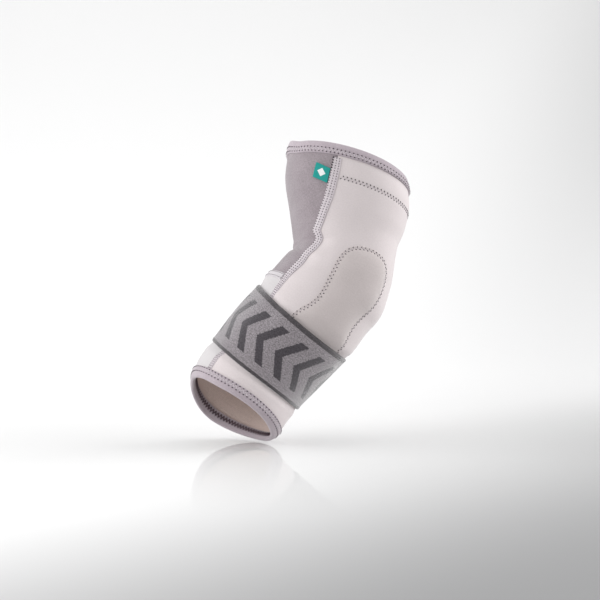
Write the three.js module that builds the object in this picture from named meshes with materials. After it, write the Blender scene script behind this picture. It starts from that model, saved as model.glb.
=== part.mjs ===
// Elbow brace: a padded knit sleeve for a slightly bent arm, with a wide elastic strap round the forearm.
// It is drawn filled out, as it stands on an arm. Millimetres, +Z up.
// The origin is the middle of the elbow, on the arm's centreline. The bend lies in one plane, which holds X.
// The crook of the elbow is towards -X and the point of the elbow towards +X.
// The plane leans back, so the forearm runs down towards -X and -Y.
//
// A place on the sleeve has a station, an angle and a height:
//   station  distance along the centreline from the elbow, below 0 up the arm, above 0 down the forearm
//   angle    degrees round the arm: 0 the point of the elbow, 90 the outer side (-Y), 180 the crook, 270 the inner side
//   height   distance out from the panels' outer face

import * as THREE from "three";

// The arm that the sleeve is made for
const upperLength = 84; // elbow to top edge
const forearmLength = 146; // elbow to wrist edge
const flexion = 35; // how far the elbow is bent, degrees
const bendRadius = 70; // of the centreline at the elbow
const upperTilt = 3; // the upper arm's tilt in the plane of the bend, degrees
const leanBack = 20; // the lean of that plane, degrees

// Widths from front to back over the panels
const topWidth = 98;
const elbowWidth = 84;
const forearmWidth = 92;
const wristWidth = 82;

// Panels
const wall = 1.8;
const seat = 0.3; // clearance between two pieces of cloth
const seamGap = 0.8; // between two panels that meet under a tape
const crossSeamToStrap = 12; // from the seam between the crook and forearm panels to the strap's upper edge

// Folds in the crook
const foldDepth = 1.5;
const foldLength = 9; // half of a fold's length along the arm

// Tapes
const tapeThickness = 1;
const seamTapeWidth = 7.5;
const crossTapeWidth = 6;

// Edge bindings
const bindingThickness = 1;
const topBindingWidth = 9.5;
const wristBindingWidth = 7.5;
const bindingLining = 6.5; // width of the part that is turned inside
const liningClearance = 0.4; // between that part and the panels

// Strap
const strapWidth = 57;
const strapThickness = 1.8;
const strapFromWrist = 34.5; // wrist edge to the strap's lower edge
const strapEdge = 3.3; // width of its thicker edges
const strapEdgeRise = 0.3;
const strapSlant = 4; // degrees in the plane of the bend
const strapDip = 13.5; // degrees across that plane, on the outer side
const strapDipInside = 8; // and on the inner side
const tapeClearance = 0.6; // the strap is lifted this far beside a tape
const tapeRamp = 2.5; // and comes down again over this width

// Elbow pad
const padWidth = 46;
const padAbove = 9; // from the elbow up to the pad's top
const padOverlap = 8; // its length under the strap
const padAngle = 58;
const padCrown = 3.2; // thickness at its middle
const padRim = 1; // thickness at its stitched edge
const padClearance = 11; // the strap is lifted this far beside the pad, degrees
const padRamp = 10; // and comes down again over this angle

// Label
const labelWidth = 11.5;
const labelLength = 11.5;
const labelThickness = 1;
const labelFromTop = 20.5; // top edge to the label's upper corner at the seam
const labelTilt = 15; // degrees

// Facets
const straightStep = 6.5; // between rows on the straight stretches
const bendStep = 4; // between rows in the bend
const bendReach = 30; // from the elbow, where the rows are closer
const backColumns = 24;
const frontColumns = 12;
const padRows = 16;
const padColumns = 8;

const degrees = Math.PI / 180;

// Sections of the sleeve. at: share of the upper arm, below 0, or of the forearm, above 0.
// front, back and side: shares of that row's width. slant and dip: the ring's tilt in the bend's plane and across it.
const sections = [
  { at: -1.0, width: topWidth, front: 0.488, back: 0.498, side: 0.453, slant: 13.5, dip: 0 },
  { at: -0.87, width: topWidth, front: 0.503, back: 0.514, side: 0.466, slant: 12.5, dip: 0 },
  { at: -0.72, width: topWidth, front: 0.51, back: 0.52, side: 0.465, slant: 11, dip: 0 },
  { at: -0.45, width: topWidth, front: 0.455, back: 0.49, side: 0.45, slant: 6, dip: 0 },
  { at: -0.22, width: elbowWidth, front: 0.485, back: 0.525, side: 0.5, slant: 2, dip: 0 },
  { at: 0.0, width: elbowWidth, front: 0.48, back: 0.535, side: 0.505, slant: 0, dip: 0 },
  { at: 0.14, width: elbowWidth, front: 0.505, back: 0.56, side: 0.51, slant: 0, dip: 0 },
  { at: 0.34, width: forearmWidth, front: 0.49, back: 0.525, side: 0.475, slant: 0, dip: 0 },
  { at: 0.6, width: forearmWidth, front: 0.49, back: 0.5, side: 0.465, slant: 0, dip: 0 },
  { at: 0.85, width: wristWidth, front: 0.525, back: 0.545, side: 0.49, slant: -4, dip: 5 },
  { at: 0.94, width: wristWidth, front: 0.49, back: 0.557, side: 0.486, slant: -5.8, dip: 7 },
  { at: 1.0, width: wristWidth, front: 0.452, back: 0.547, side: 0.468, slant: -7, dip: 8.5 },
];

// The seam between the back panel and the front panels, and the tape over it. at: as above.
// angle: degrees round the arm. width: share of the tape's width.
const seams = [
  { at: -1.0, angle: 99, width: 0.85 },
  { at: -0.72, angle: 102, width: 0.9 },
  { at: -0.5, angle: 108, width: 1 },
  { at: -0.33, angle: 116, width: 1 },
  { at: -0.19, angle: 122, width: 1 },
  { at: -0.08, angle: 118.5, width: 0.95 },
  { at: 0.05, angle: 120.5, width: 1 },
  { at: 0.115, angle: 124.5, width: 1 },
  { at: 0.18, angle: 122, width: 1 },
  { at: 0.27, angle: 123, width: 0.9 },
  { at: 0.4, angle: 122, width: 0.7 },
  { at: 0.8, angle: 128, width: 0.65 },
  { at: 1.0, angle: 131, width: 0.6 },
];

// Folds in the crook, the same on both sides of it. at: as above. angle and spread: its middle and half its reach
// round the arm, degrees. depth: share of the fold depth.
const folds = [
  { at: -0.17, angle: 128, spread: 26, depth: -0.5 },
  { at: -0.06, angle: 118, spread: 24, depth: 0.8 },
  { at: 0.02, angle: 180, spread: 55, depth: 1 },
  { at: 0.065, angle: 122, spread: 24, depth: -0.6 },
  { at: 0.13, angle: 126, spread: 22, depth: 0.7 },
];

// Half of the pad's outline. at: share of its length from the top. half: share of its width.
const padOutline = [
  { at: 0, half: 0.07 },
  { at: 0.012, half: 0.2 },
  { at: 0.045, half: 0.35 },
  { at: 0.1, half: 0.445 },
  { at: 0.17, half: 0.49 },
  { at: 0.25, half: 0.5 },
  { at: 0.36, half: 0.48 },
  { at: 0.48, half: 0.445 },
  { at: 0.6, half: 0.425 },
  { at: 0.71, half: 0.465 },
  { at: 0.81, half: 0.53 },
  { at: 0.9, half: 0.57 },
  { at: 1, half: 0.57 },
];

// The value of a table's column at a share of the way, on a smooth curve through the rows.
function valueAt(rows, share, column) {
  const last = rows.length - 1;
  let i = 0;
  while (i < last - 1 && rows[i + 1].at < share) i += 1;
  const slope = (k) => {
    const a = rows[Math.max(k - 1, 0)];
    const b = rows[Math.min(k + 1, last)];
    return (column(b) - column(a)) / (b.at - a.at);
  };
  const span = rows[i + 1].at - rows[i].at;
  const t = Math.min(Math.max((share - rows[i].at) / span, 0), 1);
  const rise = column(rows[i + 1]) - column(rows[i]);
  const startSlope = slope(i) * span;
  const endSlope = slope(i + 1) * span;
  const curve = startSlope + endSlope - 2 * rise;
  return column(rows[i]) + t * (startSlope + t * (3 * rise - 2 * startSlope - endSlope + t * curve));
}

// 1 up to the start, 0 from the end on, and a straight line between them.
const ramp = (value, start, end) => Math.min(Math.max((end - value) / (end - start), 0), 1);

// A smooth hill from -1 to 1.
const hill = (t) => (Math.abs(t) < 1 ? (1 - t * t) ** 2 : 0);

const stationOf = (share) => share * (share < 0 ? upperLength : forearmLength);
const shareOf = (station) => (station < 0 ? station / upperLength : station / forearmLength);

// The centreline in the plane of the bend: two straight lines joined by an arc at the elbow.
// turn is the tangent's angle from straight down.
function centreline(station) {
  const halfArc = (bendRadius * flexion * degrees) / 2;
  const middle = (upperTilt + flexion / 2) * degrees;
  const clamped = Math.min(Math.max(station, -halfArc), halfArc);
  const turn = middle + clamped / bendRadius;
  const beyond = station - clamped;
  const across = bendRadius * (Math.cos(turn) - Math.cos(middle)) - beyond * Math.sin(turn);
  const up = bendRadius * (Math.sin(middle) - Math.sin(turn)) - beyond * Math.cos(turn);
  return { across, up, turn };
}

// How far the cloth is folded in at a place.
function foldAt(station, angle) {
  const fromBack = Math.min(angle, 360 - angle);
  let depth = 0;
  for (const fold of folds) {
    const along = hill((station - stationOf(fold.at)) / foldLength);
    depth += fold.depth * foldDepth * along * hill((fromBack - fold.angle) / fold.spread);
  }
  return depth;
}

const lean = new THREE.Matrix4().makeRotationX(-leanBack * degrees);

// A point of the sleeve. An angle below 0 is the same as one on the inner side.
function place(station, angle, height) {
  const share = shareOf(station);
  const column = (name) => valueAt(sections, share, (row) => row[name]);
  const size = (name) => valueAt(sections, share, (row) => row[name] * row.width);
  const cos = Math.cos(angle * degrees);
  const sin = Math.sin(angle * degrees);
  const reach = size(cos > 0 ? "back" : "front");
  const side = size("side");
  const normal = new THREE.Vector2(cos / reach, sin / side).normalize();
  const out = height - foldAt(station, (angle + 360) % 360);
  const outBack = reach * cos + normal.x * out;
  const outSide = side * sin + normal.y * out;
  const along = outBack * Math.tan(column("slant") * degrees) - outSide * Math.tan(column("dip") * degrees);
  const { across, up, turn } = centreline(station);
  const x = across + outBack * Math.cos(turn) - along * Math.sin(turn);
  const z = up - outBack * Math.sin(turn) - along * Math.cos(turn);
  return new THREE.Vector3(x, -outSide, z).applyMatrix4(lean);
}

// The angle that a length takes up round the arm.
function turnOf(station, length) {
  const radius = valueAt(sections, shareOf(station), (row) => (row.width * (row.front + row.back + 2 * row.side)) / 4);
  return length / (radius * degrees);
}

const seamAngle = (station) => valueAt(seams, shareOf(station), (row) => row.angle);
const tapeHalfWidth = (station) => (seamTapeWidth / 2) * valueAt(seams, shareOf(station), (row) => row.width);

// Stations from start to end, on the rows that all pieces share.
function rowsBetween(start, end) {
  const rows = [start];
  let station = -upperLength;
  while (station < end - bendStep / 2) {
    if (station > start + bendStep / 2) rows.push(station);
    station += Math.abs(station) < bendReach ? bendStep : straightStep;
  }
  rows.push(end);
  return rows;
}

// A closed mesh from a grid of vertices. point gives a vertex from its row and column.
// The last row joins the first one, and the last column the first one too.
function closedGrid(rowCount, columnCount, point) {
  const positions = [];
  const triangles = [];
  for (let row = 0; row < rowCount; row += 1) {
    for (let column = 0; column < columnCount; column += 1) {
      positions.push(...point(row, column).toArray());
      const nextRow = ((row + 1) % rowCount) * columnCount;
      const nextColumn = (column + 1) % columnCount;
      const a = row * columnCount + column;
      const b = row * columnCount + nextColumn;
      const c = nextRow + nextColumn;
      const d = nextRow + column;
      triangles.push(a, b, c, a, c, d);
    }
  }
  return meshOf(positions, triangles);
}

// A sheet with two faces, closed round its edge. point gives a vertex from its row, its column and its face.
function sheet(rowCount, columnCount, point) {
  const positions = [];
  const triangles = [];
  const index = (row, column, face) => (row * columnCount + column) * 2 + face;
  const addSquare = (a, b, c, d) => triangles.push(a, b, c, a, c, d);
  for (let row = 0; row < rowCount; row += 1) {
    for (let column = 0; column < columnCount; column += 1) {
      for (const face of [0, 1]) positions.push(...point(row, column, face).toArray());
    }
  }
  const lastRow = rowCount - 1;
  const lastColumn = columnCount - 1;
  for (let row = 0; row < lastRow; row += 1) {
    for (let column = 0; column < lastColumn; column += 1) {
      const corner = (face) => [
        index(row, column, face),
        index(row, column + 1, face),
        index(row + 1, column + 1, face),
        index(row + 1, column, face),
      ];
      const outer = corner(1);
      const [a, b, c, d] = corner(0);
      addSquare(...outer);
      triangles.push(c, b, a, d, c, a);
    }
  }
  for (let column = 0; column < lastColumn; column += 1) {
    const first = [index(0, column + 1, 1), index(0, column, 1), index(0, column, 0), index(0, column + 1, 0)];
    const last = [
      index(lastRow, column, 1),
      index(lastRow, column + 1, 1),
      index(lastRow, column + 1, 0),
      index(lastRow, column, 0),
    ];
    addSquare(...first);
    addSquare(...last);
  }
  for (let row = 0; row < lastRow; row += 1) {
    const first = [index(row, 0, 1), index(row + 1, 0, 1), index(row + 1, 0, 0), index(row, 0, 0)];
    const last = [
      index(row + 1, lastColumn, 1),
      index(row, lastColumn, 1),
      index(row, lastColumn, 0),
      index(row + 1, lastColumn, 0),
    ];
    addSquare(...first);
    addSquare(...last);
  }
  return meshOf(positions, triangles);
}

function meshOf(positions, triangles) {
  const geometry = new THREE.BufferGeometry();
  geometry.setAttribute("position", new THREE.Float32BufferAttribute(positions, 3));
  geometry.setIndex(triangles);
  geometry.computeVertexNormals();
  return geometry;
}

// Materials
const cloth = (colour, roughness) => new THREE.MeshStandardMaterial({ color: colour, roughness, metalness: 0 });
const lightKnit = cloth(0xd4cbcd, 0.85);
const mauveKnit = cloth(0xb0a5ac, 0.9);
const whiteKnit = cloth(0xe2dfdf, 0.85);
const tapeKnit = cloth(0xc6bfc4, 0.85);
const bindingKnit = cloth(0xb5aab3, 0.9);
const strapKnit = cloth(0x8d888e, 0.9);
const padKnit = cloth(0xc6bec0, 0.85);
const labelWeave = cloth(0x0f9f92, 0.7);

function piece(name, geometry, material) {
  const mesh = new THREE.Mesh(geometry, material);
  mesh.name = name;
  return mesh;
}

// Stations at which the pieces end
const strapTop = forearmLength - strapFromWrist - strapWidth; // on the centreline
const crossSeamAt = strapTop - crossSeamToStrap;
const topPanelEdge = -upperLength + bindingThickness + seat;
const wristPanelEdge = forearmLength - bindingThickness - seat;
const tapeTop = -upperLength + topBindingWidth + seat;
const tapeBottom = forearmLength - wristBindingWidth - seat;

// A panel between two stations. sideOf gives its two edges at a station, degrees round the arm.
function panel(start, end, columns, sideOf) {
  const rows = rowsBetween(start, end);
  return sheet(rows.length, columns + 1, (row, column, face) => {
    const [from, to] = sideOf(rows[row]);
    return place(rows[row], from + ((to - from) * column) / columns, face ? 0 : -wall);
  });
}

function backSides(station) {
  const edge = seamAngle(station) - turnOf(station, seamGap / 2);
  return [-edge, edge];
}

function frontSides(station) {
  const edge = seamAngle(station) + turnOf(station, seamGap / 2);
  return [edge, 360 - edge];
}

// A tape over the seam. side is 1 on the outer side and -1 on the inner side.
function seamTape(side) {
  const rows = rowsBetween(tapeTop, tapeBottom);
  return sheet(rows.length, 3, (row, column, face) => {
    const station = rows[row];
    const middle = side * seamAngle(station);
    const angle = middle + (column - 1) * turnOf(station, tapeHalfWidth(station));
    return place(station, angle, seat + (face ? tapeThickness : 0));
  });
}

// The tape over the cross seam runs from one seam tape to the other.
function crossTape() {
  return sheet(3, frontColumns + 1, (row, column, face) => {
    const station = crossSeamAt + ((row - 1) * crossTapeWidth) / 2;
    const edge = seamAngle(station) + turnOf(station, tapeHalfWidth(station) + seat);
    const angle = edge + ((360 - 2 * edge) * column) / frontColumns;
    return place(station, angle, seat + (face ? tapeThickness : 0));
  });
}

// Angles of the columns of a closed ring: even between the seams, and closer beside each tape.
function ringAngles(station) {
  const seam = seamAngle(station);
  const beside = turnOf(station, tapeHalfWidth(station) + tapeClearance);
  const clear = beside + turnOf(station, tapeRamp);
  const nearSeam = [-clear, -beside, 0, beside, clear];
  const angles = [];
  for (let i = 1; i < backColumns; i += 1) angles.push(-seam + (2 * seam * i) / backColumns);
  for (const turn of nearSeam) angles.push(seam + turn);
  for (let i = 1; i < frontColumns; i += 1) angles.push(seam + ((360 - 2 * seam) * i) / frontColumns);
  for (const turn of nearSeam) angles.push(360 - seam + turn);
  return angles;
}

const ringColumns = ringAngles(0).length;

// A binding's section, folded round the edge of the panels. along: from the edge. height: as elsewhere.
function bindingSection(width) {
  const outside = seat + bindingThickness;
  const inside = -wall - liningClearance - bindingThickness;
  const middle = (outside + inside) / 2;
  const round = (outside - inside) / 2;
  const nose = round * 0.7; // the fold is a little flatter than half a circle
  const points = [];
  for (const turn of [-90, -45, 0, 45, 90]) {
    const along = nose * (1 - Math.cos(turn * degrees));
    points.push({ along, height: middle + round * Math.sin(turn * degrees) });
  }
  points.push({ along: width, height: outside });
  points.push({ along: width, height: seat });
  points.push({ along: bindingThickness, height: seat });
  points.push({ along: bindingThickness, height: -wall - liningClearance });
  points.push({ along: bindingLining, height: -wall - liningClearance });
  points.push({ along: bindingLining, height: inside });
  return points;
}

// A binding round the top edge, with end at -1, or round the wrist edge, with end at 1.
function binding(end, width) {
  const section = bindingSection(width);
  if (end > 0) section.reverse();
  const edge = end < 0 ? -upperLength : forearmLength;
  return closedGrid(section.length, ringColumns, (row, column) => {
    const station = edge - end * section[row].along;
    return place(station, ringAngles(station)[column], section[row].height);
  });
}

// The station of a line that runs round the strap, along from its upper edge.
function strapStation(angle, along) {
  const sin = Math.sin(angle * degrees);
  const slant = Math.cos(angle * degrees) * Math.tan(strapSlant * degrees);
  const outside = Math.tan(strapDip * degrees);
  const inside = Math.tan(strapDipInside * degrees);
  const dip = (sin * (outside + inside) + sin * sin * (outside - inside)) / 2;
  return strapTop + along + ((slant + dip) * forearmWidth) / 2;
}

// Half of the pad's angle at a share of its length
const padHalfAngle = (station, share) => turnOf(station, padWidth * valueAt(padOutline, share, (row) => row.half));

// The height of the strap's inner face, lifted over the tapes and over the pad's lower end.
function strapSeat(station, angle, along) {
  const fromSeam = Math.abs(Math.min(angle, 360 - angle) - seamAngle(station));
  const beside = turnOf(station, tapeHalfWidth(station) + tapeClearance);
  const overTape = ramp(fromSeam, beside, beside + turnOf(station, tapeRamp));
  const padEdge = padHalfAngle(station, 1) + padClearance;
  const overPad = ramp(Math.abs(angle - padAngle), padEdge, padEdge + padRamp);
  const padEnd = ramp(along, padOverlap + tapeRamp, 2 * padOverlap + tapeRamp);
  return seat + Math.max(overTape * (tapeThickness + seat), overPad * padEnd * (padRim + seat));
}

function strap() {
  const inner = strapWidth - 2 * strapEdge;
  const lines = [0, strapEdge, padOverlap + tapeRamp];
  for (const share of [0.3, 0.5, 0.7, 0.85]) lines.push(strapEdge + inner * share);
  lines.push(strapWidth - strapEdge, strapWidth);
  const rowCount = 2 * lines.length;
  return closedGrid(rowCount, ringColumns, (row, column) => {
    const outside = row < lines.length;
    const along = lines[outside ? row : rowCount - 1 - row];
    const roughAngle = ringAngles(strapStation(90, along))[column];
    const angle = ringAngles(strapStation(roughAngle, along))[column];
    const station = strapStation(angle, along);
    const edge = along < strapEdge || along > strapWidth - strapEdge ? strapEdgeRise : 0;
    const thickness = outside ? strapThickness + edge : 0;
    return place(station, angle, strapSeat(station, angle, along) + thickness);
  });
}

// The pad is thickest in its middle and thin at its outline and under the strap.
function elbowPad() {
  return sheet(padRows + 1, padColumns + 1, (row, column, face) => {
    const share = (row / padRows) ** 1.6; // the rows are closer at its round top
    const across = (2 * column) / padColumns - 1;
    const roughStation = -padAbove + share * (strapStation(padAngle, padOverlap) + padAbove);
    const angle = padAngle + across * padHalfAngle(roughStation, share);
    const station = -padAbove + share * (strapStation(angle, padOverlap) + padAbove);
    const dome = (1 - Math.abs(across) ** 2.5) * Math.sin(Math.PI * Math.min(share / 0.86, 1)) ** 0.7;
    const thickness = padRim + (padCrown - padRim) * dome;
    return place(station, angle, seat + (face ? thickness : 0));
  });
}

// The label hangs from the outer seam tape over the crook panel.
function label() {
  const steps = 3;
  return sheet(steps + 1, steps + 1, (row, column, face) => {
    const out = (labelWidth * column) / steps;
    const onSeam = -upperLength + labelFromTop + (labelLength * row) / steps;
    const edge = seamAngle(onSeam) + turnOf(onSeam, tapeHalfWidth(onSeam) + seat);
    const station = onSeam - out * Math.sin(labelTilt * degrees);
    const angle = edge + turnOf(onSeam, out * Math.cos(labelTilt * degrees));
    return place(station, angle, seat + (face ? labelThickness : 0));
  });
}

const brace = new THREE.Group();
brace.name = "elbow_brace";
brace.add(
  piece("back_panel", panel(topPanelEdge, wristPanelEdge, backColumns, backSides), lightKnit),
  piece("crook_panel", panel(topPanelEdge, crossSeamAt - seamGap / 2, frontColumns, frontSides), mauveKnit),
  piece("forearm_panel", panel(crossSeamAt + seamGap / 2, wristPanelEdge, frontColumns, frontSides), whiteKnit),
  piece("outer_seam_tape", seamTape(1), tapeKnit),
  piece("inner_seam_tape", seamTape(-1), tapeKnit),
  piece("cross_seam_tape", crossTape(), tapeKnit),
  piece("top_binding", binding(-1, topBindingWidth), bindingKnit),
  piece("wrist_binding", binding(1, wristBindingWidth), bindingKnit),
  piece("strap", strap(), strapKnit),
  piece("elbow_pad", elbowPad(), padKnit),
  piece("label", label(), labelWeave),
);

export default brace;
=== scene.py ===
# Elbow brace: the look of every piece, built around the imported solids.
import math

import bpy
import numpy as np
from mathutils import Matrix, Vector
from mathutils.bvhtree import BVHTree


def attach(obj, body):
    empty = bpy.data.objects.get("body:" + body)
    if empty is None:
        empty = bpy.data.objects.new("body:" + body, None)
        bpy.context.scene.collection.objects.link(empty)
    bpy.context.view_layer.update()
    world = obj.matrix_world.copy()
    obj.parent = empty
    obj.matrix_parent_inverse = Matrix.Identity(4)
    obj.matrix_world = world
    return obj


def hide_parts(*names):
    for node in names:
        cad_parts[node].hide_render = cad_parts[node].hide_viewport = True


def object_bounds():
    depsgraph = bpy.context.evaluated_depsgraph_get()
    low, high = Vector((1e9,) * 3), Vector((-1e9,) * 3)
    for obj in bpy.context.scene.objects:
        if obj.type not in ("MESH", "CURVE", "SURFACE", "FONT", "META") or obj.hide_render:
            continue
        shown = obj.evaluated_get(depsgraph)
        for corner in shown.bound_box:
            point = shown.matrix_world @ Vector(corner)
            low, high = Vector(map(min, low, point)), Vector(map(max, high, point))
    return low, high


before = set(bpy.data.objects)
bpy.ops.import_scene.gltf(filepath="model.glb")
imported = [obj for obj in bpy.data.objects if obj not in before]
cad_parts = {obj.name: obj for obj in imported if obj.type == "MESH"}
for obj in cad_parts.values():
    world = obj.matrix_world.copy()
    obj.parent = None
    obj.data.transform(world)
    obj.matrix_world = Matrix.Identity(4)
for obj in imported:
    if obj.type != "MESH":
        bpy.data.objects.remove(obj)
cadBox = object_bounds()
mm = 0.001
print("stage: frame loaded")

# The sleeve's surface is worked out here as in the solids, from the same sizes in millimetres.
# station: along the arm from the elbow, below 0 up the arm. angle: round it, 0 at the point of the elbow, 90 outside,
# 180 in the crook. height: out of the panels' outer face.
sleeve = {
    "upperLength": 84, "forearmLength": 146, "flexion": 35, "bendRadius": 70, "upperTilt": 3, "leanBack": 20,
    "topWidth": 98, "elbowWidth": 84, "forearmWidth": 92, "wristWidth": 82,
    "wall": 1.8, "seat": 0.3, "foldDepth": 1.5, "foldLength": 9, "creaseEnd": 0.35, "perDegree": 0.76,
    "undulation": 0.22, "waveLengths": (13, 21), "waveTurns": (3, 2),
}
topEnd = -sleeve["upperLength"]
wristEnd = sleeve["forearmLength"]
seat = sleeve["seat"]


def table(names, *rows):
    return [dict(zip(names.split(), row)) for row in rows]


# at: share of the upper arm, below 0, or of the forearm, above 0. front, back and side: shares of the row's width.
sections = table(
    "at width front back side slant dip",
    (-1.0, sleeve["topWidth"], 0.488, 0.498, 0.453, 13.5, 0),
    (-0.87, sleeve["topWidth"], 0.503, 0.514, 0.466, 12.5, 0),
    (-0.72, sleeve["topWidth"], 0.51, 0.52, 0.465, 11, 0),
    (-0.45, sleeve["topWidth"], 0.455, 0.49, 0.45, 6, 0),
    (-0.22, sleeve["elbowWidth"], 0.485, 0.525, 0.5, 2, 0),
    (0.0, sleeve["elbowWidth"], 0.48, 0.535, 0.505, 0, 0),
    (0.14, sleeve["elbowWidth"], 0.505, 0.56, 0.51, 0, 0),
    (0.34, sleeve["forearmWidth"], 0.49, 0.525, 0.475, 0, 0),
    (0.6, sleeve["forearmWidth"], 0.49, 0.5, 0.465, 0, 0),
    (0.85, sleeve["wristWidth"], 0.525, 0.545, 0.49, -4, 5),
    (0.94, sleeve["wristWidth"], 0.49, 0.557, 0.486, -5.8, 7),
    (1.0, sleeve["wristWidth"], 0.452, 0.547, 0.468, -7, 8.5),
)

seams = table(
    "at angle width",
    (-1.0, 99, 0.85), (-0.72, 102, 0.9), (-0.5, 108, 1), (-0.33, 116, 1), (-0.19, 122, 1), (-0.08, 118.5, 0.95),
    (0.05, 120.5, 1), (0.115, 124.5, 1), (0.18, 122, 0.97), (0.27, 123, 0.8), (0.4, 122, 0.64), (0.8, 128, 0.65),
    (1.0, 131, 0.6),
)

folds = table(
    "at angle spread depth",
    (-0.17, 128, 26, -0.5), (-0.06, 118, 24, 0.8), (0.02, 180, 55, 1), (0.065, 122, 24, -0.6), (0.13, 126, 22, 0.7),
)

# Fine creases of the cloth: two ends as (station, angle), then depth and half width.
creases = table(
    "start end depth width",
    ((3, 186), (-9, 122), 0.6, 3.5),
    ((7, 170), (15, 121), 0.5, 3),
    ((-3, 160), (-24, 130), 0.3, 5),
    ((-8, 112), (-16, 84), 0.35, 4.5),
    ((14, 116), (18, 98), 0.3, 4),
    ((-20, 200), (-40, 228), 0.35, 5),
    ((8, 210), (12, 240), 0.5, 4),
    ((-6, 232), (-16, 262), 0.4, 5),
)
# Soft rises and hollows: where they are, how long and wide (degrees), and how far out
swells = table(
    "station angle long wide out",
    (17, 8, 9, 38, 2.2),
    (-14, 8, 14, 38, -1.6),
    (116, 8, 30, 50, -3.0),
    (147, 10, 14, 40, -4.0),
    (147, 245, 20, 45, 3.5),
    (45, 192, 26, 50, -2.6),
)

# Where an end of the sleeve stands further up the arm: -1 is the top, 1 the wrist. wide is in degrees, reach along it.
endRises = table(
    "end angle wide rise reach",
    (-1, 181, 40, 5.8, 30),
    (1, 178, 78, 5, 24),
    (1, 245, 66, -2.4, 24),
)


def tableValue(rows, share, value):
    # The same smooth curve through a table's rows as in the solids
    at = np.array([row["at"] for row in rows], dtype=float)
    values = np.array([value(row) for row in rows], dtype=float)
    last = len(rows) - 1
    before = [max(k - 1, 0) for k in range(last + 1)]
    after = [min(k + 1, last) for k in range(last + 1)]
    slopes = (values[after] - values[before]) / (at[after] - at[before])
    i = np.searchsorted(at[1:-1], share)
    span = at[i + 1] - at[i]
    t = np.clip((share - at[i]) / span, 0, 1)
    rise = values[i + 1] - values[i]
    start = slopes[i] * span
    end = slopes[i + 1] * span
    return values[i] + t * (start + t * (3 * rise - 2 * start - end + t * (start + end - 2 * rise)))


def hill(t):
    return np.where(np.abs(t) < 1, (1 - t * t) ** 2, 0)


def bell(t):
    return np.exp(-t * t)


def unit(ways):
    return ways / np.linalg.norm(ways, axis=-1, keepdims=True)


def fromSegment(here, start, end):
    # The share along a segment of the point nearest to each place, and the distance to it
    way = end - start
    t = np.clip((here - start) @ way / max(way @ way, 1e-9), 0, 1)
    return t, np.linalg.norm(here - start - t[..., None] * way, axis=-1)


def shareOf(station):
    return np.where(station < 0, station / -topEnd, station / wristEnd)


def stationOf(share):
    return share * (-topEnd if share < 0 else wristEnd)


def turnOf(station, length):
    # The angle that a length takes up round the arm
    radius = tableValue(sections, shareOf(station), lambda r: r["width"] * (r["front"] + r["back"] + 2 * r["side"]) / 4)
    return np.degrees(length / radius)


# Where the pieces end, in millimetres
edges = {
    "bindingThickness": 1, "topBindingWidth": 10.5, "wristBindingWidth": 9.5, "lining": 7.6, "liningClearance": 0.4,
    "strapWidth": 57, "strapFromWrist": 34.5, "crossSeamToStrap": 12,
}
topPanelEdge = topEnd + edges["bindingThickness"] + seat
wristPanelEdge = wristEnd - edges["bindingThickness"] - seat
tapeTop = topEnd + edges["topBindingWidth"] + seat
tapeBottom = wristEnd - edges["wristBindingWidth"] - seat
strapTop = wristEnd - edges["strapFromWrist"] - edges["strapWidth"]
crossSeamAt = strapTop - edges["crossSeamToStrap"]

# The strap's place comes before the surface, because it presses the cloth in
strap = {
    "thickness": 1.5, "edge": 3.3, "edgeRise": 0.35, "roll": 0.6, "rollLength": 0.7,
    "slant": 4, "dip": 13.5, "dipInside": 8, "press": 1.7, "pressPast": 0.5, "pressRamp": 8,
    "tapeClearance": 0.6, "tapeFlat": 0.3, "tapeRamp": 12.5, "overTape": 0.2,
    "padClearance": 11 / 3, "padRamp": 15, "padEnd": (1, 14), "overPad": 1.3,
    "rowStep": 1.1, "innerSteps": 12, "columns": 256, "uvFromTop": 28,
}


def strapStation(angle, along):
    slant, outside, inside = (math.tan(math.radians(strap[key])) for key in ("slant", "dip", "dipInside"))
    sin = np.sin(np.radians(angle))
    dip = (sin * (outside + inside) + sin * sin * (outside - inside)) / 2
    return strapTop + along + (np.cos(np.radians(angle)) * slant + dip) * sleeve["forearmWidth"] / 2


def smoothDown(value, start, end):
    # 1 up to the start, 0 from the end on, and a smooth slope between them
    t = np.clip((end - value) / (end - start), 0, 1)
    return t * t * (3 - 2 * t)


def relief(station, angle):
    round360 = np.mod(angle, 360)
    fromBack = np.minimum(round360, 360 - round360)
    out = np.zeros_like(fromBack)
    for fold in folds:
        along = hill((station - stationOf(fold["at"])) / sleeve["foldLength"])
        out -= fold["depth"] * sleeve["foldDepth"] * along * hill((fromBack - fold["angle"]) / fold["spread"])
    scale = np.array([1, sleeve["perDegree"]])
    here = np.stack([station, round360], -1) * scale
    for crease in creases:
        t, distance = fromSegment(here, crease["start"] * scale, crease["end"] * scale)
        fade = sleeve["creaseEnd"] + (1 - sleeve["creaseEnd"]) * (1 - t)
        out -= crease["depth"] * fade * bell(distance / crease["width"])
    fromEdge = np.abs(station - strapStation(angle, edges["strapWidth"] / 2)) - edges["strapWidth"] / 2
    out -= strap["press"] * smoothDown(fromEdge, strap["pressPast"], strap["pressRamp"])
    for swell in swells:
        fromMiddle = np.abs(np.mod(angle - swell["angle"] + 180, 360) - 180)
        out += swell["out"] * bell((station - swell["station"]) / swell["long"]) * bell(fromMiddle / swell["wide"])
    turn = np.radians(angle)
    first, second = (station / length for length in sleeve["waveLengths"])
    wave = np.sin(first + turn * sleeve["waveTurns"][0]) * np.sin(turn * sleeve["waveTurns"][1] - second)
    return out + sleeve["undulation"] * wave


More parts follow.
